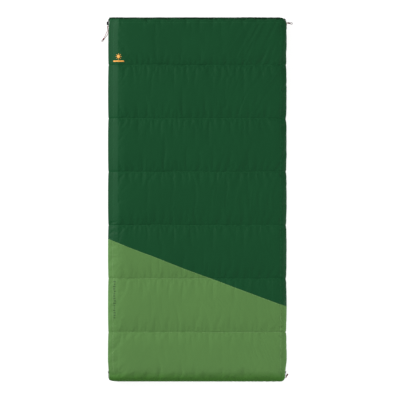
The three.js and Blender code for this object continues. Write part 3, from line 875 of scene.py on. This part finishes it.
# For each pull: two strands' points (mm out from the tab's hole, mm along it, share of the hole's height),
# the sleeve's start, its turn in degrees from straight out, and the end loop's radius in mm or 0.
ROUTES = {
    "left_upper": (
        [[1, 1.3, 1], [2.8, 1.25, 0.97], [4.3, 0.9, 0.9], [5.2, -0.4, 0.78], [5.5, -3, 0.63], [5.5, -7, 0.45],
         [5.6, -12, 0.27], [6, -18, 0.1], [8, -25, 0.01], [12, -33.5, 0], [16.5, -44, 0], [20.4, -53.5, 0],
         [23.9, -60.7, 0]],
        [[1, -1.3, 1], [2.2, -1.35, 0.97], [3.2, -1.9, 0.9], [3.5, -3.6, 0.78], [3.3, -6.6, 0.6],
         [2.8, -11, 0.4], [2.3, -17, 0.2], [2.2, -24, 0.04], [2.9, -31, 0], [5.2, -41, 0], [11, -50.8, 0],
         [17, -57.6, 0], [21.7, -62.5, 0]],
        (23.3, -62.4), -54, 3.4,
    ),
    "right_upper": (
        [[1, 1.3, 1], [2.2, 1.4, 0.97], [3.2, 2.2, 0.9], [3.6, 4.4, 0.77], [3.7, 7.6, 0.6], [3.8, 11.2, 0.42],
         [4.1, 14.8, 0.23], [5, 18, 0.08], [7, 19.6, 0.01], [9.5, 19.5, 0], [12.4, 19.3, 0]],
        [[1, -1.3, 1], [2.8, -1.25, 0.97], [4.2, -0.7, 0.89], [5, 1, 0.76], [5.3, 4, 0.58], [5.6, 7.6, 0.4],
         [6, 11.2, 0.21], [6.8, 14.2, 0.07], [8.4, 16.2, 0.01], [10.4, 16.7, 0], [12.4, 16.7, 0]],
        (12.7, 18), -7, 5,
    ),
    "right_lower": (
        [[1, 1.3, 1], [2.3, 1.35, 0.97], [3.1, 1.4, 0.9], [3.3, 1.5, 0.78], [3.2, 1.5, 0.62],
         [3.1, 1.5, 0.45], [3, 1.5, 0.28], [3.05, 1.8, 0.13], [3.6, 2.9, 0.02], [5.07, 5.5, 0]],
        [[1, -1.3, 1], [2.8, -1.3, 0.96], [4.2, -1.25, 0.88], [4.7, -1.2, 0.75], [4.8, -1.2, 0.6],
         [4.9, -1.2, 0.43], [5, -1.2, 0.26], [5.2, -0.8, 0.12], [5.9, 1.2, 0.02], [7.33, 4.2, 0]],
        (6.4, 5.2), 60, 0,
    ),
}
# The hole in each tab: which way is out, and its distance from the centre line and its y, in mm.
HOLES = {
    "left_upper": (-1, 464.1, 908.2), "right_upper": (1, 464.1, 908.2), "right_lower": (1, 464.1, -930.35),
}
CORD = 2.2 * MM
SLEEVE_LENGTH = 12.5 * MM
SLEEVE_WIDE = 7.8 * MM
SLEEVE_FLAT = 0.62
CORD_HEIGHT = 1.3 * MM


def cord_points(name, route):
    """A strand's route as places in the frame."""
    direction, x, y = HOLES[name]
    out, along, share = np.array(route, float).T
    z = MIDDLE + (CORD_HEIGHT - MIDDLE) * (1 - share)
    return np.stack([direction * (x + out) * MM, (y + along) * MM, z], axis=-1)


def strand(name, points, body):
    """A cord as a curve with a round bevel, through points close together."""
    line = curve_through(points, 8)
    data = bpy.data.curves.new(name, "CURVE")
    data.dimensions = "3D"
    data.bevel_depth = CORD / 2
    data.bevel_resolution = 3
    data.use_fill_caps = True
    spline = data.splines.new("POLY")
    spline.points.add(len(line) - 1)
    spline.points.foreach_set("co", np.concatenate([line, np.ones((len(line), 1))], axis=1).ravel())
    spline.use_smooth = True
    data.materials.append(PULL_BRAID)
    cord = placed(name, data)
    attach(cord, body)
    return cord, float(np.linalg.norm(np.diff(line, axis=0), axis=1).sum())


def turned(points, name, turn):
    """Points laid along +x, turned about the vertical by the pull's own angle and set down at its sleeve."""
    direction, x, y = HOLES[name]
    start = ROUTES[name][2]
    angle = math.radians(turn if direction > 0 else 180 - turn)
    cos = math.cos(angle)
    sin = math.sin(angle)
    along, aside, up = np.moveaxis(points, -1, 0)
    out = np.stack([along * cos - aside * sin, along * sin + aside * cos, up], axis=-1)
    height = SLEEVE_WIDE / 2 * SLEEVE_FLAT + 0.2 * MM
    return out + [direction * (x + start[0]) * MM, (y + start[1]) * MM, height]


def build_grip(name, half_width):
    """A moulded grip around a tab, fuller on its outer side and clear of the teeth on its inner one."""
    low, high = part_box(f"{name}_tab")
    outer = HOLES[name][0] * (half_width - 2.3 * MM)
    around = np.linspace(0, 2 * math.pi, 20, endpoint=False)
    y = np.linspace(low.y + 9.5 * MM, high.y - 6.5 * MM, 25)
    share = np.linspace(-1, 1, 25)[:, None]
    swell = np.maximum(1 - share**8, 0.05) ** 0.5 * (1 - 0.06 * np.cos(share * 14))
    x = (low.x + high.x) / 2 + outer + swell * half_width * np.cos(around)
    z = (low.z + high.z) / 2 + swell * 4.9 * MM * np.sin(around)
    rings = np.stack([x, y[:, None] + 0 * around, z], axis=-1)
    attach(swept(f"{name}_tab_grip", rings, TAB_PLASTIC), f"{name}_tab_body")


def build_sleeve(name, turn):
    """The sleeve over the strands' ends: a flattened tube with rounded ends and three shallow rings."""
    around = np.linspace(0, 2 * math.pi, 24, endpoint=False)
    along = np.linspace(0, 1, 19)
    ridges = 0.94 + 0.06 * np.cos((2 * along - 1) * 3 * math.pi)
    swell = (1 - np.abs(2 * along - 1) ** 6) ** (1 / 3) * ridges
    swell = np.maximum(swell, 0.35)[:, None] * SLEEVE_WIDE / 2
    overlap = 1.3 * MM
    length = along[:, None] * (SLEEVE_LENGTH + overlap) - overlap + 0 * around
    rings = np.stack([length, swell * np.cos(around), swell * np.sin(around) * SLEEVE_FLAT], axis=-1)
    return swept(f"{name}_rubber_sleeve", turned(rings, name, turn), SLEEVE_RUBBER)


def build_loop(name, turn, radius):
    """The closed loop of cord past a sleeve: a torus."""
    a, b = np.meshgrid(*[np.linspace(0, 2 * math.pi, count, endpoint=False) for count in (48, 14)])
    ring = radius + CORD / 2 * np.cos(b)
    centre = SLEEVE_LENGTH + 0.3 * MM + radius + CORD / 2
    points = np.stack([centre + ring * np.cos(a), ring * np.sin(a), CORD / 2 * np.sin(b)], axis=-1)
    points = turned(np.concatenate([points, points[:1]]), name, turn)
    return merged(piece(f"{name}_braid_loop", points, grid_faces(15, 48, around=True), RING_BRAID))


def build_pull(name):
    """A pull: its sleeve, its end loop if it has one, and its two strands."""
    body = f"{name}_tab_body"
    route_a, route_b, _, turn, loop_radius = ROUTES[name]
    extras = [build_sleeve(name, turn)]
    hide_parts(f"{name}_cord_sleeve")
    if loop_radius:
        extras.append(build_loop(name, turn, loop_radius * MM))
        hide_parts(f"{name}_cord_loop")
    for extra in extras:
        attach(extra, body)

    for letter, route in (("a", route_a), ("b", route_b)):
        points = cord_points(name, route)
        cord, length = strand(f"{name}_braid_{letter}", points, body)
        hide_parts(f"{name}_cord_{letter}")


# ---- Sewing and marks ----


def stitches(name, shell, u, v, material):
    """A row of short raised threads through cloth coordinates about one stitch apart."""
    points, normal = shell.at(u, v, lift=0.15 * MM)
    ahead = np.gradient(points, axis=0)
    ahead /= np.linalg.norm(ahead, axis=1, keepdims=True)
    aside = np.cross(normal, ahead)
    half = np.array([-0.5, -0.3, 0.3, 0.5]) * 3.2 * MM
    wide = np.array([0.15, 0.5, 0.5, 0.15]) * MM
    turn = np.linspace(0, 2 * math.pi, 5, endpoint=False)
    points, ahead, aside, normal = [each[:, None, None] for each in (points, ahead, aside, normal)]
    turn = turn[:, None]
    half, wide = half[:, None, None], wide[:, None, None]
    shape = points + ahead * half + (aside * np.cos(turn) + normal * np.sin(turn)) * wide
    faces = repeated(20, grid_faces(4, 5, around=True, flip=True), len(shape))
    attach(piece(name, shape, faces, material), "front")


def shaded_stitches(name, shell, u, v):
    """A row of stitches that changes shade where it crosses the diagonal seam."""
    light = v < row_of(seam_place(u))
    for shade, chosen, thread in (("dark", ~light, DARK_THREAD), ("light", light, PALE_THREAD_WITH_PAINTED_HIGHLIGHT)):
        if chosen.sum() > 5:
            stitches(f"{name}_{shade}_thread", shell, u[chosen], v[chosen], thread)


def build_stitches(shell):
    """The rows of thread on the front layer."""
    across = np.arange(-REACH[-1] + 12 * MM, REACH[1] - 12 * MM, THREAD_PITCH)
    for number, line in enumerate(QUILT_LINES):
        shaded_stitches(f"quilt_line_{number}", shell, across, np.full(across.shape, row_of(line)))
    inner = across[(across > -0.43) & (across < 0.43)]
    # The pale thread here carries a painted highlight along the diagonal seam.
    stitches("seam_topstitch", shell, inner, row_of(seam_place(inner)) - 2.5 * MM, PALE_THREAD_WITH_PAINTED_HIGHLIGHT)
    hem = np.full(inner.shape, HEM_ROW)
    stitches("hem_topstitch", shell, inner, hem, DARK_THREAD)
    along = np.arange(ROLL + 20 * MM, LENGTH - END.length, THREAD_PITCH)
    for side, name in ((-1, "left"), (1, "right")):
        column = np.full(along.shape, side * (FACING_SEAM[side] - 2 * MM))
        shaded_stitches(f"{name}_facing", shell, column, along)


def patch(shell, outlines, lift):
    """Small filled shapes on the cloth: each outline is a grid of (x, y) places. Gives points and faces."""
    points = []
    faces = []
    start = 0
    for outline in outlines:
        u, v = outline[..., 0], row_of(outline[..., 1])
        points.append(shell.at(u, v, lift)[0].reshape(-1, 3))
        faces.append(grid_faces(*u.shape) + start)
        start += u.size
    return np.concatenate(points), np.concatenate(faces)


def bar(centre, size, turn=0.0):
    """A rectangle's grid of places, turned by degrees."""
    a, b = np.meshgrid(*[np.linspace(-0.5, 0.5, count) * side for count, side in zip((9, 3), size)])
    cos = math.cos(math.radians(turn))
    sin = math.sin(math.radians(turn))
    return np.stack([centre[0] + a * cos - b * sin, centre[1] + a * sin + b * cos], axis=-1)


def disc(centre, radius):
    """A disc's grid of places, from its rim to its middle."""
    a, b = np.meshgrid(np.linspace(1, 0, 6) * radius, np.linspace(0, 2 * math.pi, 33))
    return np.stack([centre[0] + a * np.cos(b), centre[1] + a * np.sin(b)], axis=-1)


def build_marks(shell):
    """A plain embroidered sun over a bar near the head, and a column of printed ticks near the foot."""
    middle = (-0.4095, 0.746)
    shapes = [disc(middle, 8 * MM), bar((middle[0], middle[1] - 0.024), (0.058, 0.007))]
    for turn in range(0, 360, 45):
        angle = math.radians(turn)
        centre = (middle[0] + 13 * MM * math.cos(angle), middle[1] + 13 * MM * math.sin(angle))
        shapes.append(bar(centre, (6 * MM, 2.4 * MM), turn))
    points, faces = patch(shell, shapes, 0.5 * MM)
    mark = piece("gold_sun_mark", points, faces, GOLD_THREAD)
    thickness = mark.modifiers.new("thread thickness", "SOLIDIFY")
    thickness.thickness = 0.4 * MM
    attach(mark, "front")

    random = np.random.default_rng(SEED)
    places = np.arange(-0.43, -0.62, -0.0125)
    shapes = [
        bar((-0.431 + random.uniform(-1, 1) * 2 * MM, y), (random.uniform(5, 13) * MM, 5 * MM))
        for y in places
    ]
    points, faces = patch(shell, shapes, 0.3 * MM)
    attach(piece("printed_ticks", points, faces, PRINT_INK), "front")


# ---- Assembly ----

studio()
for pull_name in ROUTES:
    build_pull(pull_name)
front_shell, back_shell = build_shells()
build_linings(front_shell, back_shell)
for one_shell in (front_shell, back_shell):
    for one_side in (-1, 1):
        build_zip(one_shell, one_side)
for one_layer in ("front", "back"):
    for one_side in ("left", "right"):
        for one_end in ("foot", "head"):
            stop = f"{one_layer}_{one_side}_zip_{one_end}_stop"
            softened(stop, f"{stop}_metal", SLIDER_METAL, one_layer, 0.4 * MM)
for corner in ("left_upper", "right_upper", "left_lower", "right_lower"):
    for one_part, ending, stuff in (("slider", "metal", SLIDER_METAL), ("tab", "plastic", TAB_PLASTIC)):
        node_name = f"{corner}_{one_part}"
        softened(node_name, f"{node_name}_{ending}", stuff, f"{node_name}_body", 0.3 * MM)
build_grip("left_upper", 5.4 * MM)
build_grip("right_upper", 3.2 * MM)
build_stitches(front_shell)
build_marks(front_shell)
